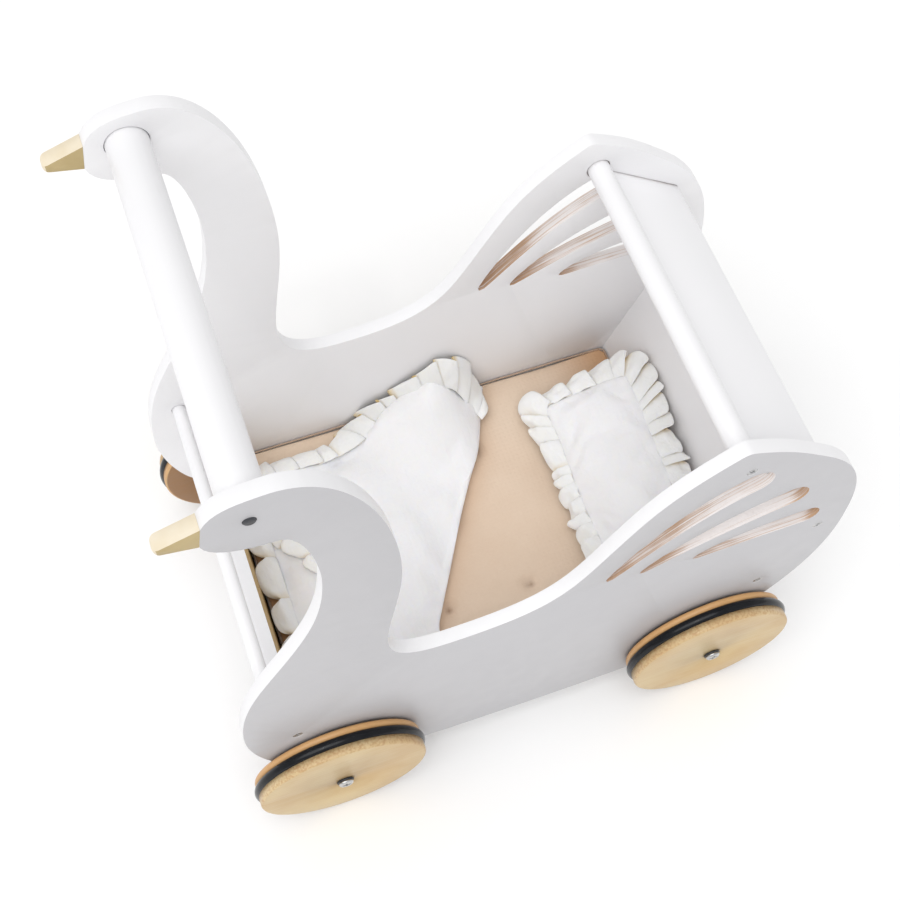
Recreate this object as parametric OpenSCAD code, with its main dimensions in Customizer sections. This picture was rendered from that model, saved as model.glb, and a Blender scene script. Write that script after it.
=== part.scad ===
// Swan-shaped wooden doll pram, in millimetres.
// X runs from the beaks (-X) to the tail (+X), Y across the pram, Z up from the floor.
// The origin is on the floor, half way along and half way across.

/* [Render] */
// Piece to draw, or "all"

/* [Sides] */
// Distance over the two side panels
panel_span = 260; // [220:1:320]
// Thickness of every board
board = 10; // [8:0.5:14]
// Longest straight run used to draw the swan outline
outline_step = 5; // [2:0.5:20]

/* [Wheels] */
// Height of the axles above the floor, which is the radius over the tyre
wheel_r = 67.5; // [50:0.5:90]
// Thickness of a wheel
wheel_w = 20; // [14:1:28]
// Distance between the head axle and the tail axle
wheelbase = 304; // [240:1:360]
// Where the middle of the wheelbase stands, measured from the origin
wheelbase_mid = -6.5; // [-30:0.5:30]
// Radius of the rubber ring's cord
tyre_cord_r = 4; // [2:0.25:6]
// How far the rubber ring stands proud of the wood
tyre_proud = 2.2; // [0.5:0.1:4]
// How far the rubber ring sits off the middle of the wheel, towards the panel
tyre_offset = 0.8; // [0:0.1:4]
// Gap between a wheel and its panel, filled by a spacer
wheel_gap = 2; // [1:0.5:6]

/* [Rails] */
// Diameter of the push handle
handle_d = 26; // [18:1:34]
// Diameter of the tail rail
tail_rail_d = 16; // [10:1:24]
// Diameter of the breast rail
breast_rail_d = 10; // [8:1:20]
// Depth of the blind seats in the panels
seat_depth = 4; // [2:0.5:6]

/* [Cradle] */
// Height of the underside of the floor board
floor_z = 75; // [70:1:100]
// Lean of the tail board away from upright, in degrees
tail_lean = 20.3; // [0:0.1:35]
// Lean of the head board away from upright, in degrees
head_lean = 4.3; // [0:0.1:6]
// Slope of the top board down towards the tail, in degrees
top_slope = 35; // [0:1:60]

/* [Bedding] */
// Thickness of the mattress
mattress_h = 22; // [12:1:40]
// Thickness of the blanket
blanket_h = 13; // [4:1:20]
// Loose fit of the bedding between boards
ease = 0.8; // [0.4:0.1:3]

/* [Hidden] */
inner_y = panel_span / 2 - board;
head_axle_x = wheelbase_mid - wheelbase / 2;
tail_axle_x = wheelbase_mid + wheelbase / 2;
wood_r = wheel_r - tyre_proud;
wheel_in_y = panel_span / 2 + wheel_gap;
wheel_out_y = wheel_in_y + wheel_w;
deck_z = floor_z + board;
bed_z = deck_z + mattress_h;
fine = 64;

// Rail centres in side view
handle_at = [-179.3, 503];
tail_rail_at = [127.5, 356];
breast_rail_at = [-195.3, 204];

// Head board and tail board: where their inner faces meet the underside of the floor board,
// and how high they reach
head_foot_x = -173.1;
head_top_z = 167;
tail_foot_x = 150;
tail_top_z = 247;

// Top board: starts behind the tail rail
top_start = tail_rail_d / 2 + 0.5;
top_board_l = 76.5;
top_board_r = 3;
top_seat_r = 5.5;

// How much wider than the rails and the top board their seats are
seat_ease = 1;
wide_seat_ease = 1.6;

// Radius of the mattress's corners
mattress_corner_r = 6;

// Length of the pillow along the pram and across it, and the radius of its edges
pillow_size = [96, 172];
pillow_edge_r = 14;

// Axle bolt M6 with a low pan head, its washers, spacer and lock nut
bolt_d = 6;
bolt_bore = 6.1;
bolt_head_d = 11.5;
bolt_head_h = 2.6;
washer_d = 13;
washer_h = 1;
washer_bore = 6.4;
inner_washer_d = 10.8;
spacer_d = 16;
nut_d = 11;
nut_h = 5;

// Beaks: wedges pegged to the straight front of each head, which runs between these two points
snout = [[-206.3, 490.8], [-203.4, 509.8]];
beak_tip = [-226, 498.7];
beak_tip_r = 2.7;
beak_corner_r = 3.5;
beak_peg_d = 5;
beak_peg_l = 16;
beak_peg_at = [-204.9, 499.5];

// Panel screws: 4 mm countersunk
screw_d = 4;
screw_head_d = 7.6;
screw_head_h = 2.4;
screw_l = 30;
screw_point_l = 4;
handle_screw_l = 45;
handle_screw_head = [7.4, 2.4];
cap_d = 7.8;
cap_hole_depth = 4;

// Side view points of the screws that hold rails and boards to each panel
function head_x(z, out = 0) = head_foot_x - (z - floor_z) * tan(head_lean) - out / cos(head_lean);
function tail_x(z, out = 0) = tail_foot_x + (z - floor_z) * tan(tail_lean) + out / cos(tail_lean);
tail_board_screws = [for (z = [141, 220]) [tail_x(z, board / 2), z]];
head_board_screws = [for (z = [98, 143]) [head_x(z, board / 2), z]];
floor_board_screws = [for (x = [-140, 122]) [x, floor_z + board / 2]];
screw_points = concat([tail_rail_at], tail_board_screws, head_board_screws, floor_board_screws);

// Swan outline: cubic curves, each from its knot to the next one
swan = [
    [snout[1], [-196.2, 524.2], [-183.2, 524.8], [-170.4, 525.7]],        // brow
    [[-170.4, 525.7], [-124.6, 530.0], [-102.1, 448.8], [-101.4, 383.0]], // nape
    [[-101.4, 383.0], [-100.6, 306.9], [-141.8, 231.0], [-69.7, 229.7]],  // shoulder
    [[-69.7, 229.7], [10.7, 228.3], [17.4, 255.2], [44.7, 303.9]],        // saddle
    [[44.7, 303.9], [62.5, 335.7], [73.6, 355.4], [115.4, 382.6]],        // wing
    [[115.4, 382.6], [118.2, 384.4], [121.1, 384.6], [124.1, 383.2]],     // wing tip
    [[124.1, 383.2], [153.0, 369.4], [162.8, 360.1], [185.0, 340.4]],     // flight feathers
    [[185.0, 340.4], [221.6, 307.9], [228.5, 269.0], [228.5, 218.0]],     // tail
    [[228.5, 218.0], [228.5, 177.0], [217.9, 140.4], [195.0, 108.3]],     // rump
    [[195.0, 108.3], [177.6, 83.9], [145.0, 36.0], [85.0, 32.0]],         // under tail
    [[85.0, 32.0], [40.0, 29.0], [-40.0, 29.5], [-85.0, 33.0]],           // belly
    [[-85.0, 33.0], [-140.0, 38.0], [-191.3, 70.3], [-206.0, 102.0]],     // under breast
    [[-206.0, 102.0], [-216.0, 124.0], [-220.8, 150.0], [-219.6, 174.0]], // breast
    [[-219.6, 174.0], [-216.5, 238.1], [-192.3, 262.7], [-168.4, 315.0]], // throat
    [[-168.4, 315.0], [-157.3, 339.4], [-149.2, 364.6], [-148.4, 404.9]], // neck
    [[-148.4, 404.9], [-148.1, 422.4], [-153.5, 470.5], [-167.5, 470.8]], // chin
    [[-167.5, 470.8], [-178.0, 470.9], [-202.6, 473.0], snout[0]]         // jaw
];

// Feather slots: [tip, bend, end, tip half width, end half width]
feathers = [
    [[44.7, 248.5], [91.0, 318.3], [134.5, 335.5], 3.0, 13.3],
    [[70.0, 242.5], [111.8, 276.6], [170.7, 291.6], 2.4, 12.5],
    [[110.5, 236.5], [136.9, 246.7], [192.2, 247.0], 2.2, 10.6]
];

function polar(a) = [cos(a), sin(a)];
function cubic(c, t) = pow(1 - t, 3) * c[0] + 3 * t * pow(1 - t, 2) * c[1]
    + 3 * t * t * (1 - t) * c[2] + pow(t, 3) * c[3];
function quad(f, t) = pow(1 - t, 2) * f[0] + 2 * t * (1 - t) * f[1] + t * t * f[2];
function quad_dir(f, t) = let (d = (1 - t) * (f[1] - f[0]) + t * (f[2] - f[1])) d / norm(d);
function turned(d) = [-d[1], d[0]];
function quad_side(f, t) = half_width(f, t) * turned(quad_dir(f, t));
function half_width(f, t) = f[3] + (f[4] - f[3]) * pow(sin(90 * t), 0.75);

function control_length(c) = norm(c[1] - c[0]) + norm(c[2] - c[1]) + norm(c[3] - c[2]);
function steps(c) = max(6, ceil(control_length(c) / outline_step));
swan_points = concat([for (c = swan) for (i = [0 : steps(c) - 1]) cubic(c, i / steps(c))], [snout[0]]);

// One feather slot as a closed outline: up one edge, round the end, back down the other
function feather_points(f, n = 16, m = 12) =
    let (end_dir = quad_dir(f, 1), a0 = atan2(end_dir[1], end_dir[0])) concat(
        [for (i = [0 : n - 1]) quad(f, i / n) + quad_side(f, i / n)],
        [for (i = [0 : m]) f[2] + f[4] * polar(a0 + 90 - 180 * i / m)],
        [for (i = [n - 1 : -1 : 0]) quad(f, i / n) - quad_side(f, i / n)],
        [f[0] - f[3] * quad_dir(f, 0)]
    );

// Top board in side view: square at the rail, rounded at the tail end
function top_frame(p) = tail_rail_at + p[0] * polar(-top_slope) + p[1] * polar(90 - top_slope);
function top_board_points(r, grow) = let (s0 = top_start - grow, s1 = top_start + top_board_l + grow)
    concat(
        [top_frame([s0, grow]), top_frame([s0, -board - grow])],
        [for (a = [-90 : 15 : 0]) top_frame([s1 - r, r - board - grow] + r * polar(a))],
        [for (a = [0 : 15 : 90]) top_frame([s1 - r, grow - r] + r * polar(a))]
    );

// Side view outline pushed out to a slab between two y values
module slab(points, y0, y1) {
    translate([0, y1, 0]) rotate([90, 0, 0]) linear_extrude(height = y1 - y0) polygon(points);
}

// Round bar across the pram
module bar(at, d, y0, y1) {
    translate([at[0], y1, at[1]]) rotate([90, 0, 0]) cylinder(h = y1 - y0, d = d, $fn = fine);
}

// Put a thing made on the near side on one side of the pram: -1 near, 1 far
module on_side(side) {
    if (side < 0) children();
    else mirror([0, 1, 0]) children();
}

// Each axle in turn
module at_axles() {
    for (x = [head_axle_x, tail_axle_x]) translate([x, 0, wheel_r]) children();
}

module side_panel(side) {
    out_y = -panel_span / 2;
    seat_y = out_y + board - seat_depth;
    color("whitesmoke") on_side(side) difference() {
        slab(swan_points, out_y, out_y + board);
        for (f = feathers) slab(feather_points(f), out_y - 1, out_y + board + 1);
        // seats for the rails and the top board, open to the inside
        bar(handle_at, handle_d + seat_ease, seat_y, out_y + board + 1);
        bar(tail_rail_at, tail_rail_d + wide_seat_ease, seat_y, out_y + board + 1);
        bar(breast_rail_at, breast_rail_d + seat_ease, seat_y, out_y + board + 1);
        slab(top_board_points(top_seat_r, wide_seat_ease / 2), seat_y, out_y + board + 1);
        // axle bolts
        for (x = [head_axle_x, tail_axle_x]) bar([x, wheel_r], bolt_bore, out_y - 1, out_y + board + 1);
        // countersunk screws
        for (p = screw_points) screw_cut(p);
        // handle screw under the eye cap
        bar(handle_at, screw_d + 0.2, out_y - 1, out_y + board + 1);
        bar(handle_at, cap_d + 0.1, out_y - 1, out_y + cap_hole_depth);
        beak_peg_hole();
    }
}

// Blind hole for the peg, half in the panel and half in the beak, on the near side
module beak_peg_hole() {
    translate([beak_peg_at[0] - beak_peg_l / 2 - 0.3, (board - panel_span) / 2, beak_peg_at[1]])
        rotate([0, 90, 0]) cylinder(h = beak_peg_l + 0.6, d = beak_peg_d + 0.1, $fn = 32);
}

module screw_cut(p) {
    out_y = -panel_span / 2;
    hole_d = screw_d + 0.2;
    sink_d = screw_head_d + 0.2;
    translate([p[0], out_y, p[1]]) rotate([-90, 0, 0]) {
        translate([0, 0, -1]) cylinder(h = board + 2, d = hole_d, $fn = 32);
        translate([0, 0, -0.01]) cylinder(h = screw_head_h + 0.05, d1 = sink_d, d2 = hole_d, $fn = 32);
    }
}

// Countersunk screw, head at z 0, shank along +Z, cross recess in the head
module countersunk(l) {
    difference() {
        union() {
            cylinder(h = screw_head_h, d1 = screw_head_d, d2 = screw_d, $fn = 32);
            shank(screw_head_h, l);
        }
        cross_recess(3.8, 0.9, 1.2);
    }
}

// Pointed shank along +Z, from z0 to the point at l
module shank(z0, l) {
    translate([0, 0, z0]) cylinder(h = l - z0 - screw_point_l, d = screw_d, $fn = 32);
    translate([0, 0, l - screw_point_l]) cylinder(h = screw_point_l, d1 = screw_d, d2 = 0.6, $fn = 32);
}

module cross_recess(span, slot, depth) {
    for (a = [0, 90]) rotate([0, 0, a])
        translate([-span / 2, -slot / 2, -1]) cube([span, slot, depth + 1]);
}

module panel_screws(side) {
    color("silver") on_side(side) for (p = screw_points)
        translate([p[0], -panel_span / 2 + 0.1, p[1]]) rotate([-90, 0, 0]) countersunk(screw_l);
}

module near_side_panel() side_panel(-1);
module far_side_panel() side_panel(1);
module near_panel_screws() panel_screws(-1);
module far_panel_screws() panel_screws(1);

// Boards and rails carry a blind pilot hole for every screw that enters them
module pilots(points, l = screw_l) {
    for (s = [-1, 1]) on_side(s) for (p = points)
        translate([p[0], -panel_span / 2 + board - seat_depth - 1, p[1]]) rotate([-90, 0, 0])
            cylinder(h = l - board + seat_depth + 1.6, d = screw_d + 0.1, $fn = 32);
}

// Wedge with a blunt rounded tip, rounded again in plan
module beak(side) {
    out_y = -panel_span / 2;
    gap = 0.1;
    r = beak_corner_r;
    tip_x = beak_tip[0] - beak_tip_r;
    root = [for (t = [0.02, 0.98]) (1 - t) * snout[0] + t * snout[1] - [gap, 0]];
    tip = [for (a = [116 : 19 : 249]) beak_tip + beak_tip_r * polar(a)];
    plan = concat(
        [[snout[1][0] + 1, out_y], [snout[1][0] + 1, out_y + board]],
        [for (a = [90 : 15 : 180]) [tip_x + r, out_y + board - r] + r * polar(a)],
        [for (a = [180 : 15 : 270]) [tip_x + r, out_y + r] + r * polar(a)]
    );
    color("wheat") on_side(side) difference() {
        intersection() {
            slab(concat(root, tip), out_y, out_y + board);
            translate([0, 0, snout[0][1] - 1])
                linear_extrude(height = snout[1][1] - snout[0][1] + 2) polygon(plan);
        }
        beak_peg_hole();
    }
}

module near_beak() beak(-1);
module far_beak() beak(1);

module beak_pegs() {
    color("burlywood") for (s = [-1, 1])
        translate([beak_peg_at[0] - beak_peg_l / 2, s * (panel_span - board) / 2, beak_peg_at[1]])
            rotate([0, 90, 0]) cylinder(h = beak_peg_l, d = beak_peg_d, $fn = 32);
}

module handle_rail() {
    end_y = inner_y + seat_depth - 0.2;
    color("white") difference() {
        bar(handle_at, handle_d, -end_y, end_y);
        for (s = [-1, 1]) on_side(s) translate([handle_at[0], -panel_span / 2 + 4, handle_at[1]])
            rotate([-90, 0, 0]) cylinder(h = handle_screw_l - 2, d = screw_d + 0.1, $fn = 32);
    }
}

module handle_screws() {
    color("silver") for (s = [-1, 1]) on_side(s)
        translate([handle_at[0], -panel_span / 2 + 1.5, handle_at[1]]) rotate([-90, 0, 0]) union() {
            cylinder(h = handle_screw_head[1], d = handle_screw_head[0], $fn = 32);
            shank(handle_screw_head[1], handle_screw_l);
        }
}

module eye_caps() {
    color("black") for (s = [-1, 1]) on_side(s)
        translate([handle_at[0], -panel_span / 2 - 0.8, handle_at[1]]) rotate([-90, 0, 0]) union() {
            cylinder(h = 0.8, d1 = cap_d - 1.6, d2 = cap_d, $fn = 32);
            translate([0, 0, 0.8]) cylinder(h = 1.4, d = cap_d, $fn = 32);
        }
}

module tail_rail() {
    end_y = inner_y + seat_depth - 0.2;
    color("white") difference() {
        bar(tail_rail_at, tail_rail_d, -end_y, end_y);
        pilots([tail_rail_at]);
    }
}

module breast_rail() {
    end_y = inner_y + seat_depth - 0.2;
    color("white") bar(breast_rail_at, breast_rail_d, -end_y, end_y);
}

module top_board() {
    end_y = inner_y + seat_depth - 0.2;
    color("white") slab(top_board_points(top_board_r, 0), -end_y, end_y);
}

module tail_board() {
    color("white") difference() {
        slab([[tail_x(floor_z), floor_z], [tail_x(tail_top_z), tail_top_z],
              [tail_x(tail_top_z) + board * cos(tail_lean), tail_top_z - board * sin(tail_lean)],
              [tail_x(floor_z, board), floor_z]], -inner_y, inner_y);
        pilots(tail_board_screws);
    }
}

module head_board() {
    color("white") difference() {
        slab([[head_x(floor_z), floor_z], [head_x(head_top_z), head_top_z],
              [head_x(head_top_z) - board * cos(head_lean), head_top_z - board * sin(head_lean)],
              [head_x(floor_z, board), floor_z]], -inner_y, inner_y);
        pilots(head_board_screws);
    }
}

module floor_board() {
    gap = 0.1;
    color("white") difference() {
        slab([[head_x(floor_z) + gap, floor_z], [tail_x(floor_z) - gap, floor_z],
              [tail_x(deck_z) - gap, deck_z], [head_x(deck_z) + gap, deck_z]], -inner_y, inner_y);
        pilots(floor_board_screws);
    }
}

// Wheel turned from board: rounded rims, a groove for the ring, a plain bore
module wheel(x, side) {
    rim = 2;
    mid_y = wheel_in_y + wheel_w / 2;
    color("burlywood") on_side(side) translate([x, -mid_y, wheel_r]) rotate([90, 0, 0]) difference() {
        rotate_extrude($fn = 96) polygon(concat(
            [[bolt_bore / 2, -wheel_w / 2]],
            [for (a = [-90 : 22.5 : 0]) [wood_r - rim, rim - wheel_w / 2] + rim * polar(a)],
            [for (a = [0 : 22.5 : 90]) [wood_r - rim, wheel_w / 2 - rim] + rim * polar(a)],
            [[bolt_bore / 2, wheel_w / 2]]
        ));
        cord(0.05);
    }
}

module tyre(x, side) {
    mid_y = wheel_in_y + wheel_w / 2;
    color("black") on_side(side) translate([x, -mid_y, wheel_r]) rotate([90, 0, 0]) cord(0);
}

// The rubber ring, grown all round for its groove
module cord(grow) {
    rotate_extrude($fn = 96) translate([wheel_r - tyre_cord_r, -tyre_offset])
        circle(r = tyre_cord_r + grow, $fn = 32);
}

module near_head_wheel() wheel(head_axle_x, -1);
module near_tail_wheel() wheel(tail_axle_x, -1);
module far_head_wheel() wheel(head_axle_x, 1);
module far_tail_wheel() wheel(tail_axle_x, 1);
module near_head_tyre() tyre(head_axle_x, -1);
module near_tail_tyre() tyre(tail_axle_x, -1);
module far_head_tyre() tyre(head_axle_x, 1);
module far_tail_tyre() tyre(tail_axle_x, 1);

// Washer standing on the face at y, thickness h outwards, on the near side
module ring(y, h, d, bore) {
    translate([0, y, 0]) rotate([90, 0, 0]) difference() {
        cylinder(h = h, d = d, $fn = 48);
        translate([0, 0, -1]) cylinder(h = h + 2, d = bore, $fn = 48);
    }
}

module axle_bolts() {
    head_y = wheel_out_y + 0.3 + washer_h;
    dome_h = 1;
    color("silver") for (s = [-1, 1]) on_side(s) at_axles()
        translate([0, -head_y, 0]) rotate([-90, 0, 0]) difference() {
            translate([0, 0, -bolt_head_h]) union() {
                cylinder(h = dome_h, d1 = bolt_head_d - 2.2, d2 = bolt_head_d, $fn = 48);
                translate([0, 0, dome_h]) cylinder(h = bolt_head_h - dome_h, d = bolt_head_d, $fn = 48);
                cylinder(h = bolt_head_h + head_y - inner_y + nut_h + washer_h + 1.5, d = bolt_d, $fn = 48);
            }
            translate([0, 0, -bolt_head_h]) cross_recess(6.4, 1.4, 1.6);
        }
}

module axle_washers() {
    color("dimgray") for (s = [-1, 1]) on_side(s) at_axles()
        ring(-wheel_out_y - 0.3, washer_h, washer_d, washer_bore);
}

module axle_spacers() {
    color("dimgray") for (s = [-1, 1]) on_side(s) at_axles()
        ring(-panel_span / 2, wheel_gap - 0.3, spacer_d, washer_bore);
}

module inner_washers() {
    color("silver") for (s = [-1, 1]) on_side(s) at_axles()
        ring(-inner_y + washer_h, washer_h, inner_washer_d, washer_bore);
}

// Hexagon lock nut on the inner end of each axle bolt
module axle_nuts() {
    color("silver") for (s = [-1, 1]) on_side(s) at_axles()
        translate([0, -inner_y + washer_h + nut_h, 0]) rotate([90, 0, 0]) difference() {
            cylinder(h = nut_h, d = nut_d, $fn = 6);
            translate([0, 0, -1]) cylinder(h = nut_h + 2, d = bolt_d, $fn = 48);
        }
}

// Mattress: rounded corners, its ends slanted to lie along the head board and the tail board
module mattress() {
    y1 = inner_y - ease / 2;
    low_z = deck_z + 0.1;
    color("peachpuff") intersection() {
        slab([[head_x(low_z) + ease, low_z], [tail_x(low_z) - ease, low_z],
              [tail_x(bed_z) - ease, bed_z], [head_x(bed_z) + ease, bed_z]], -y1, y1);
        rounded_plate([head_x(bed_z) + ease, -y1], [tail_x(bed_z) - ease, y1], mattress_corner_r,
                      deck_z, bed_z + 1);
    }
}

module rounded_plate(low, high, r, z0, z1) {
    a = low + [r, r];
    b = high - [r, r];
    corners = [b, [a[0], b[1]], a, [b[0], a[1]]];
    translate([0, 0, z0]) linear_extrude(height = z1 - z0)
        polygon([for (q = [0 : 3]) for (i = [0 : 5]) corners[q] + r * polar(90 * q + 18 * i)]);
}

// Blanket laid over the head half, its bare edge running slantwise across the bed
module blanket() {
    x0 = head_x(bed_z) + 4.5;
    y1 = inner_y - 1.2;
    bare_edge = [[-64, -y1], [-50, -64], [-10, 4], [25, 60], [52, y1]];
    frilled_edge = [[-40, y1], [-70, 109], [x0, 84]];
    color("white") translate([0, 0, bed_z + 0.4]) linear_extrude(height = blanket_h)
        polygon(concat([[x0, -y1]], bare_edge, frilled_edge));
}

// Pillow leaning its tail edge on the tail board
module pillow() {
    r = pillow_edge_r;
    reach = pillow_size / 2 - [r, r];
    color("white") translate([119, 6, bed_z + 19.5]) rotate([0, -10, 0]) hull()
        for (x = [-1, 1], y = [-1, 1]) translate([x * reach[0], y * reach[1], 0])
            scale([1, 1, 0.75]) sphere(r = r, $fn = 24);
}

near_side_panel();
far_side_panel();
near_beak();
far_beak();
beak_pegs();
handle_rail();
handle_screws();
eye_caps();
tail_rail();
breast_rail();
top_board();
tail_board();
head_board();
floor_board();
near_panel_screws();
far_panel_screws();
near_head_wheel();
near_tail_wheel();
far_head_wheel();
far_tail_wheel();
near_head_tyre();
near_tail_tyre();
far_head_tyre();
far_tail_tyre();
axle_bolts();
axle_washers();
axle_spacers();
inner_washers();
axle_nuts();
mattress();
blanket();
pillow();
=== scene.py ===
"""Looks of the swan doll pram: painted and plain wood, rubber, steel, and frilled cotton bedding.

Lengths are in metres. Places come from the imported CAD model's boxes.
"""
import math

import bpy
import numpy as np
from mathutils import Matrix, Vector


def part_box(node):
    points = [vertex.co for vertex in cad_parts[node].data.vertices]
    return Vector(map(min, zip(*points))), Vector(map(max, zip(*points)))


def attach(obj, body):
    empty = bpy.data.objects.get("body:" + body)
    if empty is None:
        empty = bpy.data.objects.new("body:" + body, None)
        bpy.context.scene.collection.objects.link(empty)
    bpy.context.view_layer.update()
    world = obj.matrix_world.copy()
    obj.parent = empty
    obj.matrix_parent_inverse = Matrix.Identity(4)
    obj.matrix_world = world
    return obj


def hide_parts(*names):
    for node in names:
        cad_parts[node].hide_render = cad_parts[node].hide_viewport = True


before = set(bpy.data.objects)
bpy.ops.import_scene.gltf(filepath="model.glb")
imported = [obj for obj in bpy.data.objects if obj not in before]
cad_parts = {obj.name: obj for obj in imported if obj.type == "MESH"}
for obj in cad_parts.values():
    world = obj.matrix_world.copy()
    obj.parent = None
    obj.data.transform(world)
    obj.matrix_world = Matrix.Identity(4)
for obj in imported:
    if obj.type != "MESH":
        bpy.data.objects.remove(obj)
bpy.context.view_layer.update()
MM = 0.001
TINY = 1e-12


# ---------------------------------------------------------------- camera, light and floor

CAMERA_AT = (-0.1973, -0.4410, 1.1505)
CAMERA_AZIMUTH, CAMERA_ELEVATION, CAMERA_ROLL = -21.557, 62.334, 2.065
CAMERA_LENS = 57.71


def make_camera():
    camera = bpy.data.objects.new("camera", bpy.data.cameras.new("camera"))
    camera.data.lens = CAMERA_LENS
    turn = Matrix.Rotation(math.radians(CAMERA_AZIMUTH), 4, "Z")
    tilt = Matrix.Rotation(math.radians(90 - CAMERA_ELEVATION), 4, "X")
    roll = Matrix.Rotation(math.radians(CAMERA_ROLL), 4, "Z")
    camera.matrix_world = Matrix.Translation(CAMERA_AT) @ turn @ tilt @ roll
    bpy.context.collection.objects.link(camera)
    bpy.context.scene.camera = camera


def make_sun(name, strength, degrees_wide, towards):
    sun = bpy.data.objects.new(name, bpy.data.lights.new(name, "SUN"))
    sun.data.energy = strength
    sun.data.angle = math.radians(degrees_wide)
    sun.rotation_euler = Vector(towards).to_track_quat("Z", "Y").to_euler()
    bpy.context.collection.objects.link(sun)


def make_light():
    sky = bpy.data.worlds.new("studio")
    sky.use_nodes = True
    sky.node_tree.nodes["Background"].inputs["Color"].default_value = (1.0, 1.0, 1.0, 1)
    sky.node_tree.nodes["Background"].inputs["Strength"].default_value = 0.65
    bpy.context.scene.world = sky
    make_sun("softbox", 1.52, 60, towards=(-0.36, -0.32, 1.0))
    make_sun("glint", 0.10, 3, towards=(-0.30, -0.40, 1.0))
    bpy.context.scene.view_settings.view_transform = "Standard"


def make_floor():
    half = 12.0
    mesh = bpy.data.meshes.new("floor")
    corners = [(-half, -half, 0), (half, -half, 0), (half, half, 0), (-half, half, 0)]
    mesh.from_pydata(corners, [], [(0, 1, 2, 3)])
    floor = bpy.data.objects.new("floor", mesh)
    bpy.context.collection.objects.link(floor)
    n = Nodes("floor_paper")
    tone = n.ramp(n.noise(scale=3.0, detail=2), [(0.3, (0.955, 0.955, 0.955)), (0.7, (0.97, 0.97, 0.97))])
    n.set(Base_Color=tone, Roughness=0.9)
    mesh.materials.append(n.material)


# ---------------------------------------------------------------- materials

class Nodes:
    """One node material. Every method adds a node and returns the output that is used."""

    def __init__(self, name):
        self.material = bpy.data.materials.new(name)
        self.material.use_nodes = True
        self.tree = self.material.node_tree
        self.shader = self.tree.nodes["Principled BSDF"]
        self.place = self.add("TexCoord").outputs["Object"]

    def add(self, kind, **inputs):
        node = self.tree.nodes.new("ShaderNode" + kind)
        for name, value in inputs.items():
            self.put(node.inputs[name.replace("_", " ")], value)
        return node

    def put(self, socket, value):
        if isinstance(value, bpy.types.NodeSocket):
            self.tree.links.new(value, socket)
        elif hasattr(value, "__len__") and len(value) == 3 and socket.type == "RGBA":
            socket.default_value = (*value, 1)
        else:
            socket.default_value = value

    def set(self, **inputs):
        for name, value in inputs.items():
            self.put(self.shader.inputs[name.replace("_", " ")], value)

    def mapped(self, scale, rotation=(0, 0, 0)):
        return self.add("Mapping", Vector=self.place, Scale=scale, Rotation=rotation).outputs["Vector"]

    def noise(self, scale, detail=4, roughness=0.5, at=None, distortion=0.0):
        node = self.add("TexNoise", Scale=scale, Detail=detail, Roughness=roughness, Distortion=distortion)
        self.put(node.inputs["Vector"], self.place if at is None else at)
        return node.outputs["Fac"]

    def wave(self, scale, direction, distortion, detail, at=None):
        node = self.add("TexWave", Scale=scale, Distortion=distortion, Detail=detail)
        node.bands_direction = direction
        self.put(node.inputs["Vector"], self.place if at is None else at)
        return node.outputs["Fac"]

    def ramp(self, factor, stops):
        node = self.add("ValToRGB", Fac=factor)
        elements = node.color_ramp.elements
        while len(elements) < len(stops):
            elements.new(0.5)
        for element, (position, colour) in zip(elements, stops):
            element.position = position
            element.color = (*colour, 1) if hasattr(colour, "__len__") else (colour, colour, colour, 1)
        return node.outputs["Color"]

    def math(self, operation, a, b):
        node = self.add("Math")
        node.operation = operation
        self.put(node.inputs[0], a)
        self.put(node.inputs[1], b)
        return node.outputs[0]

    def mix(self, factor, a, b):
        node = self.add("MixRGB", Fac=factor)
        self.put(node.inputs["Color1"], a)
        self.put(node.inputs["Color2"], b)
        return node.outputs["Color"]

    def attribute(self, name):
        node = self.add("Attribute")
        node.attribute_name = name
        return node.outputs["Fac"]

    def bump(self, height, depth, over=None):
        node = self.add("Bump", Height=height, Distance=depth)
        if over is not None:
            self.put(node.inputs["Normal"], over)
        return node.outputs["Normal"]


def white_paint(name, low, high):
    """Sprayed satin lacquer on board: almost even, with a fine orange-peel skin."""
    n = Nodes(name)
    cloud = n.noise(scale=9, detail=3)
    colour = n.ramp(cloud, [(0.3, low), (0.7, high)])
    specks = n.ramp(n.noise(scale=420, detail=2), [(0.70, 0.0), (0.80, 1.0)])
    colour = n.mix(n.math("MULTIPLY", specks, 0.05), colour, (0.62, 0.60, 0.56))
    roughness = n.ramp(n.noise(scale=60), [(0.3, 0.36), (0.7, 0.46)])
    peel = n.bump(n.noise(scale=900, detail=2), depth=0.00004)
    swell = n.bump(n.noise(scale=26, detail=2), depth=0.0003, over=peel)
    n.set(Base_Color=colour, Roughness=roughness, Normal=swell)
    return n.material


def scraped_wood():
    """The slots' walls: thin white paint over brown end grain, streaked along the cut."""
    n = Nodes("scraped_wood")
    streaks = n.noise(scale=1.0, detail=5, roughness=0.6, at=n.mapped(scale=(14, 1100, 14)))
    patches = n.noise(scale=30, detail=2)
    wear = n.math("ADD", n.math("MULTIPLY", n.attribute("wear"), 0.30), n.math("MULTIPLY", patches, 0.35))
    worn = n.ramp(n.math("ADD", n.math("MULTIPLY", streaks, 0.85), wear), [(0.60, 0.0), (0.80, 1.0)])
    browns = [(0.30, (0.30, 0.17, 0.09)), (0.55, (0.50, 0.31, 0.19)), (0.75, (0.66, 0.46, 0.31))]
    colour = n.mix(worn, (0.86, 0.82, 0.81), n.ramp(streaks, browns))
    roughness = n.ramp(streaks, [(0.3, 0.5), (0.7, 0.75)])
    n.set(Base_Color=colour, Roughness=roughness, Normal=n.bump(streaks, 0.0004))
    return n.material


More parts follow.
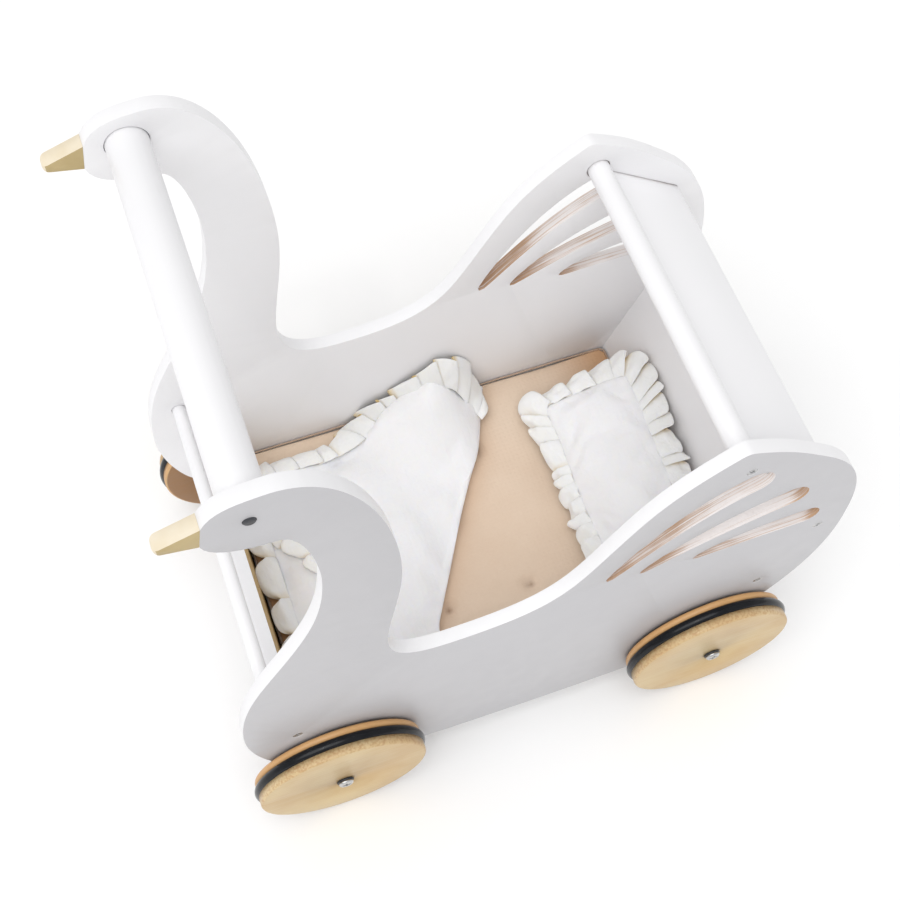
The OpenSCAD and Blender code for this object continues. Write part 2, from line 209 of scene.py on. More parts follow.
def wheel_wood():
    """Clear-lacquered pale wood: faint flowing grain, warmer end grain round the rim, and a darker back that
    is painted shade from the pram's body.
    """
    n = Nodes("wheel_wood")
    pale, deep = (0.67, 0.515, 0.280), (0.59, 0.405, 0.195)
    line, fibre = (0.52, 0.33, 0.15), (0.56, 0.36, 0.17)
    # back is painted shade: the inner faces are darkened for the shade under the pram's body.
    rim, back = (0.56, 0.285, 0.105), (0.27, 0.125, 0.035)
    grain_way = (0, math.radians(-18), 0)
    along = n.mapped(scale=(9, 60, 90), rotation=grain_way)
    grain = n.noise(scale=1.0, detail=6, roughness=0.6, at=along, distortion=0.8)
    bands = n.mapped(scale=(6, 30, 55), rotation=grain_way)
    lines = n.wave(scale=1.3, direction="Z", distortion=5, detail=3, at=bands)
    cloud = n.noise(scale=22, detail=3)
    line_share = n.math("MULTIPLY", n.ramp(lines, [(0.55, 0.0), (0.95, 1.0)]), 0.16)
    fibre_share = n.math("MULTIPLY", n.ramp(grain, [(0.55, 0.0), (0.75, 1.0)]), 0.35)
    face = n.mix(n.ramp(cloud, [(0.35, 0.0), (0.68, 1.0)]), pale, deep)
    face = n.mix(line_share, face, line)
    face = n.mix(fibre_share, face, fibre)
    specks = n.ramp(n.noise(scale=520, detail=3), [(0.45, 0.0), (0.62, 1.0)])
    sanded = n.math("MULTIPLY", n.attribute("lip"), n.math("MULTIPLY", specks, 0.55))
    face = n.mix(sanded, face, (0.45, 0.22, 0.09))
    colour = n.mix(n.attribute("rim"), face, n.mix(grain, rim, (0.70, 0.43, 0.19)))
    # Painted shade on the wheels' inner faces, which face in under the pram.
    colour = n.mix(n.attribute("back"), colour, n.mix(grain, back, (0.34, 0.17, 0.06)))
    pores = n.noise(scale=1.0, detail=3, at=n.mapped(scale=(160, 900, 1400), rotation=grain_way))
    roughness = n.ramp(grain, [(0.3, 0.38), (0.7, 0.55)])
    n.set(Base_Color=colour, Roughness=roughness, Normal=n.bump(pores, 0.00008))
    n.set(Coat_Weight=0.15, Coat_Roughness=0.25)
    return n.material


def beak_paint(name, low, high):
    """Cream paint on the wedge, with a little wear."""
    n = Nodes(name)
    cloud = n.noise(scale=60, detail=3)
    colour = n.ramp(cloud, [(0.3, low), (0.7, high)])
    streaks = n.noise(scale=1.0, detail=4, at=n.mapped(scale=(60, 700, 700)))
    colour = n.mix(n.math("MULTIPLY", streaks, 0.2), colour, high)
    roughness = n.ramp(cloud, [(0.3, 0.42), (0.7, 0.55)])
    n.set(Base_Color=colour, Roughness=roughness, Normal=n.bump(streaks, 0.00006))
    return n.material


def bare_wood_and_gap_shade():
    """Straight brown grain: the unpainted beak pegs, and painted shade on the head board's inner face, deep
    in the gap by the mattress.
    """
    n = Nodes("bare_wood_and_gap_shade")
    grain = n.noise(scale=1.0, detail=5, at=n.mapped(scale=(40, 60, 600)))
    colour = n.ramp(grain, [(0.3, (0.42, 0.27, 0.105)), (0.7, (0.60, 0.42, 0.19))])
    n.set(Base_Color=colour, Roughness=0.7, Normal=n.bump(grain, 0.0001))
    return n.material


def black_rubber():
    """Moulded rubber cord: near black, a soft long highlight, dust in faint clouds."""
    n = Nodes("black_rubber")
    dust = n.noise(scale=70, detail=5)
    colour = n.ramp(dust, [(0.35, (0.002, 0.003, 0.005)), (0.8, (0.010, 0.011, 0.014))])
    roughness = n.ramp(dust, [(0.3, 0.13), (0.8, 0.24)])
    skin = n.bump(n.noise(scale=1500, detail=2), 0.00001)
    n.set(Base_Color=colour, Roughness=roughness, Specular_IOR_Level=0.28, Normal=skin)
    return n.material


def black_plastic():
    """Moulded plastic of the eye caps, washers and spacers: dark grey with a fine grain."""
    n = Nodes("black_plastic")
    fine = n.noise(scale=1800, detail=2)
    colour = n.ramp(fine, [(0.3, (0.022, 0.024, 0.03)), (0.7, (0.05, 0.052, 0.06))])
    n.set(Base_Color=colour, Roughness=0.45, Normal=n.bump(fine, 0.00002))
    return n.material


def steel():
    """Zinc-plated steel with slight grey stains."""
    n = Nodes("steel")
    stain = n.noise(scale=260, detail=4)
    colour = n.ramp(stain, [(0.3, (0.42, 0.42, 0.43)), (0.7, (0.68, 0.68, 0.67))])
    roughness = n.ramp(stain, [(0.3, 0.22), (0.7, 0.40)])
    skin = n.bump(n.noise(scale=2600, detail=2), 0.00001)
    n.set(Base_Color=colour, Metallic=1.0, Roughness=roughness, Normal=skin)
    return n.material


def woven(n, threads_per_m, depth):
    """A plain weave's height: two crossed sets of threads, with slubs."""
    across = n.wave(scale=threads_per_m / 20, direction="X", distortion=0.6, detail=1)
    along = n.wave(scale=threads_per_m / 20, direction="Y", distortion=0.6, detail=1)
    slub = n.noise(scale=threads_per_m * 0.25, detail=2)
    height = n.math("ADD", n.math("MULTIPLY", across, along), n.math("MULTIPLY", slub, 0.7))
    return n.bump(height, depth)


def peach_cotton():
    """The mattress cover: close-woven cotton, a little uneven in its dye, darker in the seams."""
    n = Nodes("peach_cotton")
    cloud = n.noise(scale=14, detail=4)
    colour = n.ramp(cloud, [(0.3, (0.70, 0.535, 0.40)), (0.7, (0.75, 0.60, 0.465))])
    colour = n.mix(n.math("MULTIPLY", n.noise(scale=700, detail=3), 0.25), colour, (0.82, 0.70, 0.57))
    # Painted shade: the cover goes deep brown where the shade attribute is set, at its ends and beside the
    # blanket.
    colour = n.mix(n.attribute("shade"), colour, (0.55, 0.275, 0.105))
    colour = n.mix(n.attribute("seam"), colour, (0.20, 0.10, 0.06))
    weave = woven(n, threads_per_m=1700, depth=0.00010)
    soft = n.bump(n.noise(scale=70, detail=3), 0.0006, over=weave)
    n.set(Base_Color=colour, Roughness=0.88, Normal=soft, Sheen_Weight=0.25, Sheen_Roughness=0.45)
    return n.material


def cream_cotton(name, low, high, crease):
    """Crinkled off-white cotton, with painted warm-yellow shade deep in its folds."""
    n = Nodes(name)
    cloud = n.noise(scale=30, detail=4)
    colour = n.ramp(cloud, [(0.3, low), (0.7, high)])
    # Painted shade: the cotton goes warm yellow deep in the pleats' creases.
    colour = n.mix(n.attribute("fold"), colour, (0.66, 0.47, 0.19))
    weave = woven(n, threads_per_m=1500, depth=0.00009)
    askew = n.mapped(scale=(160, 70, 100), rotation=(0, 0, 0.5))
    crinkle = n.noise(scale=1.0, detail=4, roughness=0.6, at=askew, distortion=1.2)
    n.set(Base_Color=colour, Roughness=0.9, Normal=n.bump(crinkle, crease, over=weave))
    n.set(Sheen_Weight=0.3, Sheen_Roughness=0.5, Subsurface_Weight=0.18, Subsurface_Scale=0.004)
    n.shader.inputs["Subsurface Radius"].default_value = (1.0, 0.75, 0.4)
    return n.material


# ---------------------------------------------------------------- mesh helpers

def make_piece(name, points, faces, material):
    mesh = bpy.data.meshes.new(name)
    mesh.from_pydata([tuple(p) for p in points], [], faces)
    piece = bpy.data.objects.new(name, mesh)
    bpy.context.collection.objects.link(piece)
    mesh.materials.append(material)
    mesh.shade_smooth()
    return piece


def positions(mesh):
    flat = np.empty(len(mesh.vertices) * 3, np.float32)
    mesh.vertices.foreach_get("co", flat)
    return flat.reshape(-1, 3).astype(float)


def place(mesh, points):
    mesh.vertices.foreach_set("co", np.asarray(points, np.float32).ravel())
    mesh.update()


def grid_faces(rows, columns, start=0, loop=False, flip=False):
    """Quads over a grid of points, row by row. loop joins the last column to the first."""
    faces = []
    for i in range(rows - 1):
        for j in range(columns if loop else columns - 1):
            k = (j + 1) % columns
            face = (i * columns + j, i * columns + k, (i + 1) * columns + k, (i + 1) * columns + j)
            faces.append(tuple(start + v for v in (face[::-1] if flip else face)))
    return faces


def add_attribute(piece, name, values):
    layer = piece.data.attributes.new(name, "FLOAT", "POINT")
    layer.data.foreach_set("value", np.asarray(values, np.float32))


def add_modifier(piece, kind, **settings):
    modifier = piece.modifiers.new(kind.lower(), kind)
    for name, value in settings.items():
        setattr(modifier, name, value)


def smooth_step(value, low, high):
    """0 at low, 1 at high, level at both."""
    t = np.clip((np.asarray(value, float) - low) / (high - low), 0, 1)
    return t * t * (3 - 2 * t)


# ---------------------------------------------------------------- wood, rubber and metal

def dress(node, material, bevel=0.0):
    """Gives a CAD node its material, and rounds its edges."""
    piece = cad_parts[node]
    piece.data.materials.clear()
    piece.data.materials.append(material)
    piece.data.shade_smooth()
    add_modifier(piece, "WELD", merge_threshold=0.00002)
    if bevel:
        add_modifier(piece, "BEVEL", width=bevel, segments=3, limit_method="ANGLE",
                     angle_limit=math.radians(40), harden_normals=True, miter_outer="MITER_ARC", material=0)
    return piece


def mark_wheel(piece):
    """rim is 1 on the turned edge behind the tyre, lip on the edge before it, and back on the inner face,
    which gets painted shade.
    """
    low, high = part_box(piece.name)
    half_thickness = (high.y - low.y) / 2
    middle = (low + high) / 2
    radius = (high.z - low.z) / 2
    points = positions(piece.data)
    reach = np.hypot(points[:, 0] - middle.x, points[:, 2] - middle.z)
    edge = smooth_step(reach, radius - 2.0 * MM, radius - 0.8 * MM)
    outward = (points[:, 1] - middle.y) * math.copysign(1, middle.y)
    add_attribute(piece, "rim", edge * (outward < 0))
    add_attribute(piece, "lip", edge * (outward > 0))
    add_attribute(piece, "back", (outward < 0.1 * MM - half_thickness) * (1 - edge))


def paint_faces(piece, material, chosen):
    """Gives the polygons that pass the test a material of their own."""
    piece.data.materials.append(material)
    for polygon in piece.data.polygons:
        if chosen(polygon):
            polygon.material_index = len(piece.data.materials) - 1


def wall_loops(mesh):
    """Groups of joined polygons square to the panel: its outline, and its slots, holes and seats."""
    def place_of(v):
        return tuple(round(c, 5) for c in mesh.vertices[v].co)
    walls = [p for p in mesh.polygons if abs(p.normal.y) < 0.3]
    at_place = {}
    for wall in walls:
        for v in wall.vertices:
            at_place.setdefault(place_of(v), []).append(wall)
    left = {wall.index: wall for wall in walls}
    loops = []
    while left:
        todo = [left.popitem()[1]]
        loop = []
        while todo:
            wall = todo.pop()
            loop.append(wall)
            for v in wall.vertices:
                for other in at_place[place_of(v)]:
                    if other.index in left:
                        todo.append(left.pop(other.index))
        loops.append(loop)
    return loops


def paint_slots(panel, bare):
    """The walls of the feather slots, and of the seats at the tail, get the second material.

    A slot goes right through the panel, and is longer than a screw hole and shorter than the swan's outline.
    A seat goes part of the way. "wear" is 1 at the two ends of each, where most of the wood shows.
    """
    through, seat_depths, slot_lengths = 9.5 * MM, (3 * MM, 5 * MM), (40 * MM, 160 * MM)
    mesh = panel.data
    mesh.materials.append(bare)
    wear = np.zeros(len(mesh.vertices))
    for loop in wall_loops(mesh):
        at = np.array([mesh.vertices[v].co for wall in loop for v in wall.vertices])
        start = at[:, 0].min()
        length, depth, _ = at.max(axis=0) - at.min(axis=0)
        is_slot = depth > through and slot_lengths[0] < length < slot_lengths[1]
        is_tail_seat = seat_depths[0] < depth < seat_depths[1] and start > 0
        if not (is_slot or is_tail_seat):
            continue
        for wall in loop:
            wall.material_index = 1
            for v in wall.vertices:
                along = (mesh.vertices[v].co.x - start) / length
                wear[v] = 1 - smooth_step(along, 0.0, 0.45) + smooth_step(along, 0.88, 1.0)
    add_attribute(panel, "wear", wear)


def dress_hard_parts():
    scraped, wood, bare = scraped_wood(), wheel_wood(), bare_wood_and_gap_shade()
    rubber, plastic, metal = black_rubber(), black_plastic(), steel()
    paint = white_paint("white_paint", low=(0.880, 0.876, 0.890), high=(0.896, 0.891, 0.903))
    # A darker copy of the white paint for the panels' outer faces: painted shade.
    outer_face_painted_shade = white_paint("outer_face_painted_shade", low=(0.540, 0.534, 0.552), high=(0.555, 0.549, 0.566))
    beak_top = beak_paint("beak_paint", low=(0.79, 0.68, 0.49), high=(0.86, 0.77, 0.61))
    # A darker copy of the beak paint for the beak's flat sides: painted shade, as the light falls from above.
    beak_side_painted_shade = beak_paint("beak_side_painted_shade", low=(0.47, 0.35, 0.155), high=(0.55, 0.43, 0.215))
    for side in ("near", "far"):
        panel = dress(f"{side}_side_panel", paint, bevel=2.2 * MM)
        paint_slots(panel, scraped)
        face_y = max(abs(corner.y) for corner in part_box(panel.name))
        # The panels' outer faces get the painted shade.
        paint_faces(panel, outer_face_painted_shade, lambda polygon: abs(polygon.center.y) > face_y - 0.1 * MM)
        beak = dress(f"{side}_beak", beak_top, bevel=1.8 * MM)
        # The flat sides get the painted shade.
        paint_faces(beak, beak_side_painted_shade, lambda polygon: abs(polygon.normal.y) > 0.9)
        dress(f"{side}_panel_screws", metal)
        for end in ("head", "tail"):
            mark_wheel(dress(f"{side}_{end}_wheel", wood))
            dress(f"{side}_{end}_tyre", rubber)
    for node in ("handle_rail", "tail_rail", "breast_rail"):
        dress(node, paint, bevel=0.8 * MM)
    for node in ("top_board", "tail_board", "head_board", "floor_board"):
        dress(node, paint, bevel=0.9 * MM)
    # The head board's inner face gets the brown wood as painted shade for the narrow gap by the mattress.
    paint_faces(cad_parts["head_board"], bare, lambda polygon: polygon.normal.x > 0.9)
    dress("beak_pegs", bare)
    for node in ("eye_caps", "axle_washers", "axle_spacers"):
        dress(node, plastic)
    for node in ("handle_screws", "axle_bolts", "inner_washers", "axle_nuts"):
        dress(node, metal)


# ---------------------------------------------------------------- bedding shapes

def spline(points):
    """A smooth line through the points, which are in millimetres. The line is in metres."""
    knots = np.asarray(points, float) * MM
    knots = np.vstack([2 * knots[0] - knots[1], knots, 2 * knots[-1] - knots[-2]])
    t = np.linspace(0, len(points) - 1, 30 * len(points))
    i = np.minimum(t.astype(int), len(points) - 2)
    f = (t - i)[:, None]
    a, b, c, d = (knots[i + k] for k in range(4))
    curve = 2 * b + (c - a) * f + (2 * a - 5 * b + 4 * c - d) * f ** 2 + (3 * b - a - 3 * c + d) * f ** 3
    return 0.5 * curve


def length_along(line):
    """How far along the line each of its points is."""
    return np.concatenate([[0], np.cumsum(np.linalg.norm(np.diff(line, axis=0), axis=1))])


def sample(line, along, at):
    """The line's points at the given distances along it."""
    return np.stack([np.interp(at, along, line[:, k]) for k in range(3)], axis=1)


def unit(vectors):
    return vectors / np.maximum(np.linalg.norm(vectors, axis=-1, keepdims=True), TINY)


def ripple(u, v, size, seed):
    """Smooth random waves from -1 to 1 over (u, v), about size apart."""
    rng = np.random.default_rng(seed)
    total = 0
    for _ in range(7):
        angle, phase = rng.uniform(0, 2 * math.pi, 2)
        rate = 2 * math.pi / (size * rng.uniform(0.7, 1.6))
        total = total + np.sin(rate * (u * math.cos(angle) + v * math.sin(angle)) + phase)
    return total / 4


def pleats(length, pitch, lap, height, jog, recede, wild, seed):
    """Pleats folded one over the next. Each climbs from under its neighbour to its own edge, then turns back.

    Each column of the strip gets a place along the seam, a rise off the bed, a push outwards, and how much
    painted shade it gets for lying deep in a crease. lap is the share of a pleat that lies under the next,
    recede is how far the folds draw in, and wild is how uneven the pleats are.
    """
    rng = np.random.default_rng(seed)
    count = max(2, round(length / pitch))
    widths = rng.uniform(1 - wild, 1 + wild, count)
    widths *= length / widths.sum()
    starts = np.cumsum(widths) - widths
    laps = lap * widths * rng.uniform(0.5, 1.4, count)
    laps[-1] = 0
    heights = height * rng.uniform(1 - wild, 1 + 1.3 * wild, count)
    columns = []
    for k in range(count):
        low = starts[k] - (laps[k - 1] / 2 if k else 0)
        high = starts[k] + widths[k] + laps[k] / 2
        out, slant = rng.normal(0, jog, 2)
        for q in np.linspace(0, 1, 9):
            rise = heights[k] * (0.06 + 0.94 * q ** 1.4 + 0.18 * math.sin(math.pi * q))
            push = out + slant * (2 * q - 1) - recede * (abs(2 * q - 1) ** 6 + (1 - q) ** 6)
            # The last value is painted shade for the crease: full where the pleat starts under its neighbour.
            columns.append((low + q * (high - low), rise, push, 1 - smooth_step(q, 0.0, 0.28)))
        if k + 1 < count:
            back = starts[k + 1] - laps[k] / 2
            for q in (0.3, 0.7):
                rise = heights[k] * (1 - q) + 0.06 * heights[k + 1] * q
                # The turn back under the next pleat gets full painted shade.
                columns.append((high + q * (back - high), rise, out - recede - 0.0008, 1.0))
    return [np.array(column, float) for column in zip(*columns)]


def make_frill(name, seam, outer, body, material, seed, pitch, height, lap=0.35, jog=0.0012,
               recede=0.0015, seam_share=0.35, tuck=0.003, sit=0.0, wild=0.4, crumple=0.0005, over=None):
    """A gathered strip, sewn along the seam line and folded into pleats that open towards the outer line.

    tuck is how far it reaches under the body's edge, and sit is how far it stands above the seam there.
    seam_share is how much of a pleat's rise is there at the seam already. Where the frill lies over a piece,
    both lines give their heights above that piece.
    """
    rows, bow = 10, 0.0022
    inner_line, outer_line = spline(seam), spline(outer)
    middle_line = (inner_line + outer_line) / 2
    along = length_along(middle_line)
    at, rise, push, depth = pleats(along[-1], pitch, lap, height, jog, recede, wild, seed)
    foot, edge = sample(inner_line, along, at), sample(outer_line, along, at)
    outward = unit(edge - foot)
    step = 0.002
    forward = unit(sample(middle_line, along, at + step) - sample(middle_line, along, at - step))
    normal = unit(np.cross(forward, outward))
    foot = foot - outward * tuck + normal * sit
    points, folds = [], []
    for t in np.linspace(0, 1, rows):
        crinkle = crumple * ripple(at, t * 0.018, 0.009, seed + 1)
        lift = rise * (seam_share + (1 - seam_share) * t ** 0.8) + crinkle + bow * math.sin(math.pi * t)
        flat = foot + (edge - foot) * t
        points.append(flat + normal * lift[:, None] + outward * (push * t ** 2)[:, None])
        # Painted crease shade, stronger towards the free edge.
        folds.append(depth * (0.25 + 0.75 * t))
    points = np.stack(points)
    if over is not None:
        points[..., 2] += height_of(over, points)
    frill = make_piece(name, points.reshape(-1, 3), grid_faces(rows, len(at)), material)
    add_attribute(frill, "fold", np.concatenate(folds))
    add_modifier(frill, "SOLIDIFY", thickness=0.0008, offset=0)
    add_modifier(frill, "SUBSURF", levels=1, render_levels=1)
    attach(frill, body)


def height_of(stuffed_piece, points):
    """How high the upper sheet of a stuffed piece stands under each point, averaged over about reach."""
    reach = 0.004
    sheet = positions(stuffed_piece.data)
    sheet = sheet[:len(sheet) // 2]
    apart = np.linalg.norm(points[..., None, :2] - sheet[:, :2], axis=-1)
    weight = np.exp(-(apart / reach) ** 2) + TINY
    return (weight * sheet[:, 2]).sum(axis=-1) / weight.sum(axis=-1)


def coons(near, far, head, tail, rows, columns):
    """A grid of points filling in between four border lines."""
    def even(points, t):
        line = spline(points)
        along = length_along(line)
        return sample(line, along, t.ravel() * along[-1]).reshape(*t.shape, 3)
    u, v = np.meshgrid(np.linspace(0, 1, columns), np.linspace(0, 1, rows))
    a, b, c, d = even(near, u), even(far, u), even(head, v), even(tail, v)
    u, v = u[..., None], v[..., None]
    corner = [np.asarray(p, float) * MM for p in (near[0], near[-1], far[0], far[-1])]
    flat = (1 - v) * ((1 - u) * corner[0] + u * corner[1]) + v * ((1 - u) * corner[2] + u * corner[3])
    return (1 - v) * a + v * b + (1 - u) * c + u * d - flat


def stuffed(middle, thickness):
    """A closed bag round a grid of points, full inside and thin at its seams, and the seams' points."""
    seam_half = 0.0006
    rows, columns = middle.shape[:2]
    u, v = np.meshgrid(np.linspace(-1, 1, columns), np.linspace(-1, 1, rows))
    full = np.clip((1 - np.abs(u) ** 6) * (1 - np.abs(v) ** 6), 0, 1) ** 0.5
    along = np.gradient(middle, axis=1)
    across = np.gradient(middle, axis=0)
    normal = unit(np.cross(along, across))
    half = (seam_half + full * thickness / 2)[..., None] * normal
    top, bottom = (middle + half).reshape(-1, 3), (middle - half).reshape(-1, 3)
    faces = grid_faces(rows, columns) + grid_faces(rows, columns, start=rows * columns, flip=True)
    border = list(range(columns)) + [i * columns + columns - 1 for i in range(1, rows)]
    border += [(rows - 1) * columns + j for j in range(columns - 2, -1, -1)]
    border += [i * columns for i in range(rows - 2, 0, -1)]
    low = rows * columns
    for a, b in zip(border, border[1:] + border[:1]):
        faces.append((b, a, a + low, b + low))
    return np.concatenate([top, bottom]), faces, border + [j + low for j in border]


def inflate(piece, pressure, cap, seams=(), spare=0.0):
    """Blows the piece up as cloth with its seams held. spare is extra cloth. No point moves more than cap."""
    frames = 20
    scene = bpy.context.scene
    before = positions(piece.data)
    cloth = piece.modifiers.new("cloth", "CLOTH").settings
    if seams:
        piece.vertex_groups.new(name="seams").add(seams, 1.0, "REPLACE")
        cloth.vertex_group_mass = "seams"
    cloth.shrink_min = -spare
    cloth.quality = 6
    cloth.mass = 0.25
    cloth.tension_stiffness = cloth.compression_stiffness = 18
    cloth.shear_stiffness = 6
    cloth.bending_stiffness = 0.6
    cloth.use_pressure = True
    cloth.uniform_pressure_force = pressure
    cloth.effector_weights.gravity = 0
    for number in range(1, frames + 1):
        scene.frame_set(number)
    shown = piece.evaluated_get(bpy.context.evaluated_depsgraph_get()).to_mesh()
    move = positions(shown) - before
    piece.modifiers.clear()
    scene.frame_set(1)
    size = np.linalg.norm(move, axis=1, keepdims=True)
    move *= np.minimum(1, cap / np.maximum(size, TINY))
    drift = 0 if seams else move.mean(axis=0)
    place(piece.data, before + move - drift)


# ---------------------------------------------------------------- bedding

# The bedding's lines are in millimetres in the CAD frame. They follow the edges of the cotton where it lies
# in the cradle. Each frill has a line where it is sewn on and one where it ends.

LOWEST = 107.35 * MM        # the cotton's underside, just clear of the mattress
WALL = 119.2 * MM           # as far out as the cotton reaches, just clear of the panels
FLAT = 112                  # the height of the blanket's middle where it lies flat
TUFTS = [(x, y) for x in (-110, -43.5, 23.5, 91) for y in (-62, 62)]

BLANKET_NEAR = [(-163, -118.2, 113), (-120, -118.2, 113), (-64, -118.2, 112)]
BLANKET_FAR = [
    (-158, 85, 113), (-140, 91, 113), (-118, 91, 113), (-96, 90, 113), (-70, 95, 113), (-50, 105, 113),
    (-37, 112, 115.5), (-22, 113, 124), (-10, 111.5, 136), (3, 111, 144), (13, 110, 151), (21, 109.5, 148),
    (28, 108, 139), (37, 110, 121), (50, 115, 110)]
BLANKET_HEAD = [(-163, -118.2, 113), (-161.5, -60, 113), (-161, -20, 113), (-161, 28, 113), (-158, 85, 113)]
BLANKET_TAIL = [
    (-64, -118.2, 112), (-57, -78, 112), (-49.5, -63, 112), (-32.5, -34, 112), (-10.5, 4, 112),
    (8.5, 34, 112), (24.5, 58, 112), (39.5, 92, 112), (50, 115, 110)]

# Past the crest of the blanket the frill's seam leaves the edge and runs under the body.
FAR_SEAM = BLANKET_FAR[:10] + [
    (13, 108, 148.5), (20, 105.5, 143.5), (26, 101, 131), (33, 96, 118), (38, 86, 112)]
FAR_EDGE = [
    (-171, 95, 110), (-144, 102, 109), (-122, 104, 109), (-100, 102, 109), (-80, 107, 109), (-62, 116, 110),
    (-46, 118.2, 131), (-30, 118.4, 141), (-15, 118.6, 153), (-1, 118.6, 164), (10, 118.6, 172),
    (24, 118.6, 166), (33, 118.6, 149), (43, 114.5, 120), (45, 94, 109)]
HEAD_EDGE = [(-176, -118, 112), (-176.5, -62, 113), (-176.5, -20, 113), (-177, 30, 113), (-174, 94, 110)]

# The turned-back frill lies on the blanket, so its heights are above the blanket.
TURN_SEAM = [
    (-109, -27, 0.3), (-116, -11, 0.3), (-123, 3, 0.3), (-130, 17, 0.3), (-138, 31, 0.3), (-146, 49, 0.3)]
TURN_EDGE = [
    (-120, -34, 0.8), (-131, -16, 0.8), (-138, -3, 0.8), (-145, 12, 0.8), (-153, 20, 0.8), (-161, 40, 0.8)]

PILLOW_HEAD = [(85, -78, 119), (83, -20, 120), (86, 35, 121), (86, 72, 122)]
PILLOW_FAR = [(86, 72, 122), (110, 73, 128), (134, 72, 135), (157, 69, 143)]
PILLOW_TAIL = [(152, -78, 142), (152.5, -28, 143), (155, 24, 143), (157, 69, 143)]
PILLOW_NEAR = [(85, -78, 119), (118, -80, 130), (152, -78, 142)]
PILLOW_SEAM = [
    (101, -79.5, 125), (87, -77, 120), (84, -55, 119), (83, -20, 120), (84.5, 15, 120.5), (86, 45, 121),
    (87, 70, 122), (100, 72.5, 126), (134, 72, 135), (153, 69.5, 142), (156.5, 62, 143), (156, 40, 143),
    (154.5, 10, 143), (152.7, -28, 143), (152, -60, 142), (149, -78, 141), (118, -80, 130), (101, -79.5, 125)]
PILLOW_EDGE = [
    (99, -97, 117), (75, -92, 110), (72, -56, 110), (76, -22, 110), (75.5, 15, 110), (74, 50, 110),
    (74, 82, 111), (98, 82, 116), (133, 88, 126), (163, 88, 140), (175, 74, 146), (176, 50, 148),
    (171, 10, 143), (169, -30, 142), (168, -62, 141), (165, -92, 139), (118, -98, 124), (99, -97, 117)]


def remeshed_copy(node_name, name, material, voxel):
    """A CAD solid's shape in even small faces, as a new piece."""
    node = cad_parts[node_name]
    mesh = node.data.copy()
    mesh.materials.clear()
    mesh.materials.append(material)
    piece = bpy.data.objects.new(name, mesh)
    bpy.context.collection.objects.link(piece)
    piece.matrix_world = node.matrix_world
    add_modifier(piece, "WELD", merge_threshold=0.00002)
    add_modifier(piece, "REMESH", mode="VOXEL", voxel_size=voxel, use_smooth_shade=True)
    shown = piece.evaluated_get(bpy.context.evaluated_depsgraph_get())
    piece.data = bpy.data.meshes.new_from_object(shown)
    piece.modifiers.clear()
    piece.data.transform(piece.matrix_world)
    piece.matrix_world = Matrix.Identity(4)
    return piece


def finish_body(piece, body, levels):
    """The piece is subdivided, and replaces the CAD solid that has its body's name."""
    add_modifier(piece, "SUBSURF", levels=levels, render_levels=levels)
    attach(piece, body)
    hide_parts(body)


def make_mattress(material):
    """The stuffed cover: an uneven top, sunk at its tufts, with painted shade at its ends and a painted
    shadow beside the blanket's bare edge.
    """
    cover = remeshed_copy("mattress", "mattress_cover", material, voxel=0.0038)
    inflate(cover, pressure=1.2, cap=0.0015)
    points = positions(cover.data)
    low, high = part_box("mattress")
    points = np.clip(points, np.array(low) + 0.0002, np.array(high) - 0.0002)
    top = smooth_step(points[:, 2], (low.z + high.z) / 2, high.z - 0.001)
    points[:, 2] -= top * 0.0008 * (1 + ripple(points[:, 0], points[:, 1], 0.07, 3))
    threads = np.zeros(len(points))
    for x, y in TUFTS:
        near = np.hypot(points[:, 0] - x * MM, points[:, 1] - y * MM)
        points[:, 2] -= top * 0.0045 * np.exp(-(near / 0.006) ** 2)
        threads += top * 0.75 * np.exp(-(near / 0.0026) ** 2)
    bare_edge = spline(BLANKET_TAIL)[::8]
    beside = np.hypot(points[:, :1] - bare_edge[:, 0], points[:, 1:2] - bare_edge[:, 1]).min(axis=1)
    # Painted shade towards both ends of the mattress, and a painted shadow along the blanket's bare edge.
    ends = smooth_step(points[:, 0], 0.10, 0.165) + smooth_step(-points[:, 0], 0.145, 0.165)
    add_attribute(cover, "seam", threads)
    add_attribute(cover, "shade", 0.8 * ends + 0.2 * np.exp(-(beside / 0.011) ** 2))
    place(cover.data, points)
    finish_body(cover, "mattress", levels=1)


def rounded_rectangle(x0, x1, y0, y1, corner, steps):
    """Evenly spaced points round a rectangle with round corners."""
    line = []
    for x, y, start in ((x1, y1, 0), (x0, y1, 90), (x0, y0, 180), (x1, y0, 270)):
        middle_x = x - math.copysign(corner, x - (x0 + x1) / 2)
        middle_y = y - math.copysign(corner, y - (y0 + y1) / 2)
        for degrees in range(start, start + 91, 15):
            a = math.radians(degrees)
            line.append((middle_x + corner * math.cos(a), middle_y + corner * math.sin(a)))
    closed = np.array(line + line[:1])
    along = length_along(closed)
    at = np.linspace(0, along[-1], steps, endpoint=False)
    return at, np.stack([np.interp(at, along, closed[:, k]) for k in range(2)], axis=1)


def make_piping(material):
    """The corded seam round the top of the mattress."""
    low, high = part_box("mattress")
    inset, head_inset, drop, radius, corner = 0.0011, 0.0019, 0.0012, 0.0007, 0.005
    sides, steps = 8, 400
    x0, x1, y0, y1 = low.x + head_inset, high.x - inset, low.y + inset, high.y - inset
    at, path = rounded_rectangle(x0, x1, y0, y1, corner, steps)
    forward = unit(np.roll(path, -1, axis=0) - np.roll(path, 1, axis=0))
    side = np.stack([forward[:, 1], -forward[:, 0]], axis=1)
    sway = 0.0003 * ripple(at, 0, 0.03, 5)
    points = []
    for k in range(sides):
        a = 2 * math.pi * k / sides
        ring = path + side * radius * math.cos(a)
        points.append(np.column_stack([ring, high.z - drop + radius * math.sin(a) + sway]))
    points = np.concatenate(points)
    faces = [tuple(v % len(points) for v in face) for face in grid_faces(sides + 1, steps, loop=True)]
    piece = make_piece("mattress_piping", points, faces, material)
    add_attribute(piece, "seam", np.full(len(points), 0.45))
    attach(piece, "mattress")


